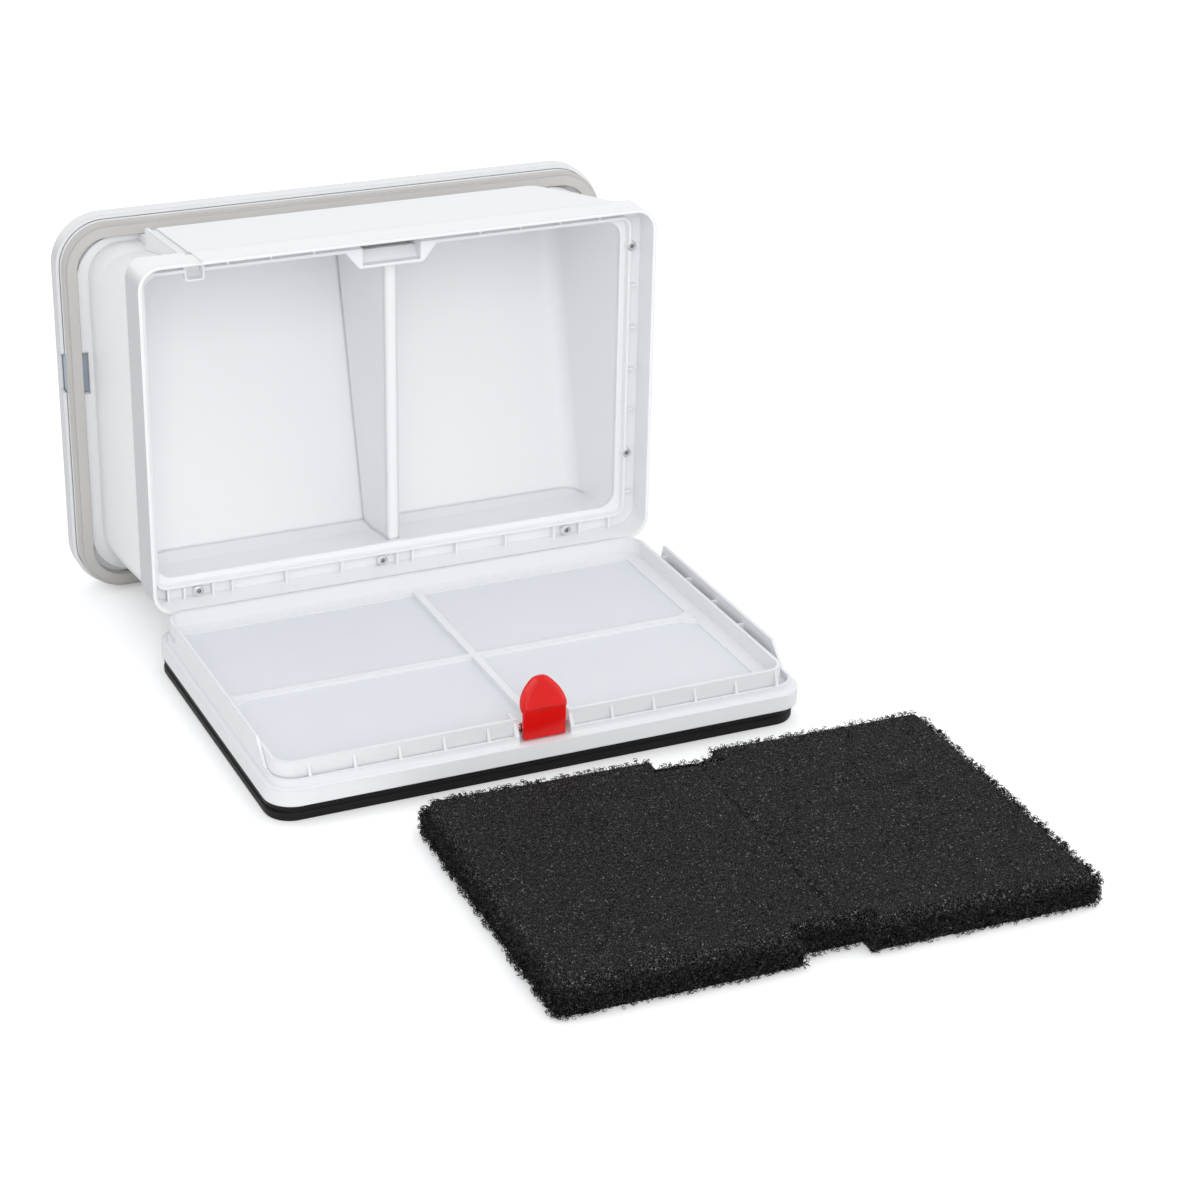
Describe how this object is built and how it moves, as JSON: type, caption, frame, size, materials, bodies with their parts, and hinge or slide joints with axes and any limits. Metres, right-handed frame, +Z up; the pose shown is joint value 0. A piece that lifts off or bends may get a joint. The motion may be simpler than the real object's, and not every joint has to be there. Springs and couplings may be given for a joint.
{
  "type": "dryer filter drawer",
  "caption": "Free-standing air filter drawer: a box on a sealed front panel, a folding cloth filter lid with a latch and gasket, and a loose foam pad.",
  "frame": {"origin": "on the floor, at the middle of the whole set's outline, with the lid folded open and the foam pad in front", "axes": "+X along the lid hinge, +Y from the open mouth towards the front panel, +Z up"},
  "size_m": [0.3086, 0.4648, 0.195],
  "materials": {
    "white_plastic": "satin moulded plastic",
    "panel_plastic": "semi-gloss moulded plastic",
    "seal_foam": "soft ribbed foam rubber",
    "lock_plastic": "satin",
    "steel": "zinc plated",
    "filter_cloth": "fine mesh",
    "gasket_rubber": "matte black",
    "latch_red": "gloss",
    "pad_foam": "open-cell foam"
  },
  "bodies": {
    "drawer": {"front_panel": "panel_plastic", "panel_carrier": "white_plastic", "panel_seal": "seal_foam", "pull_bar": "panel_plastic", "filter_box": "white_plastic", "inner_tub": "white_plastic", "box_frame": "white_plastic", "box_screws": "steel", "panel_screws": "steel", "hinge_pins": "steel"},
    "lid": {"lid_frame": "white_plastic", "cloth_back_left": "filter_cloth", "cloth_back_right": "filter_cloth", "cloth_front_left": "filter_cloth", "cloth_front_right": "filter_cloth", "lid_gasket": "gasket_rubber", "latch_pin": "steel", "latch_spring": "steel"},
    "latch": {"latch_tab": "latch_red"},
    "knob_left": {"lock_knob_left": "lock_plastic"},
    "bolt_left": {"lock_bolt_left": "lock_plastic"},
    "knob_right": {"lock_knob_right": "lock_plastic"},
    "bolt_right": {"lock_bolt_right": "lock_plastic"},
    "foam": {"foam_pad": "pad_foam"}
  },
  "joints": [
    {"name": "lid_hinge", "type": "hinge", "parent": "drawer", "child": "lid", "pos_m": [-0.01431, 0.12867, 0.02175], "axis": [-1, 0, 0], "range_deg": [0, 90]},
    {"name": "latch_press", "type": "hinge", "parent": "lid", "child": "latch", "pos_m": [-0.01531, -0.03688, 0.0214], "axis": [1, 0, 0], "range_deg": [0, 4], "stiffness_Nm_per_rad": 0.05, "springref_deg": -5.73},
    {"name": "left_lock_turn", "type": "hinge", "parent": "drawer", "child": "knob_left", "pos_m": [-0.13231, 0.22772, 0.112], "axis": [0, -1, 0], "range_deg": [0, 70]},
    {"name": "left_bolt_slide", "type": "slide", "parent": "drawer", "child": "bolt_left", "axis": [-1, 0, 0], "range_m": [0, 0.00918]},
    {"name": "right_lock_turn", "type": "hinge", "parent": "drawer", "child": "knob_right", "pos_m": [0.10369, 0.22772, 0.112], "axis": [0, 1, 0], "range_deg": [0, 70]},
    {"name": "right_bolt_slide", "type": "slide", "parent": "drawer", "child": "bolt_right", "axis": [1, 0, 0], "range_m": [0, 0.00918]},
    {"name": "foam_lift", "type": "slide", "parent": "drawer", "child": "foam", "axis": [0, 0, 1], "range_m": [0, 0.12]}
  ],
  "couplings": [
    {"joint": "left_bolt_slide", "follows": "left_lock_turn", "m_per_rad": 0.007512},
    {"joint": "right_bolt_slide", "follows": "right_lock_turn", "m_per_rad": 0.007512}
  ]
}
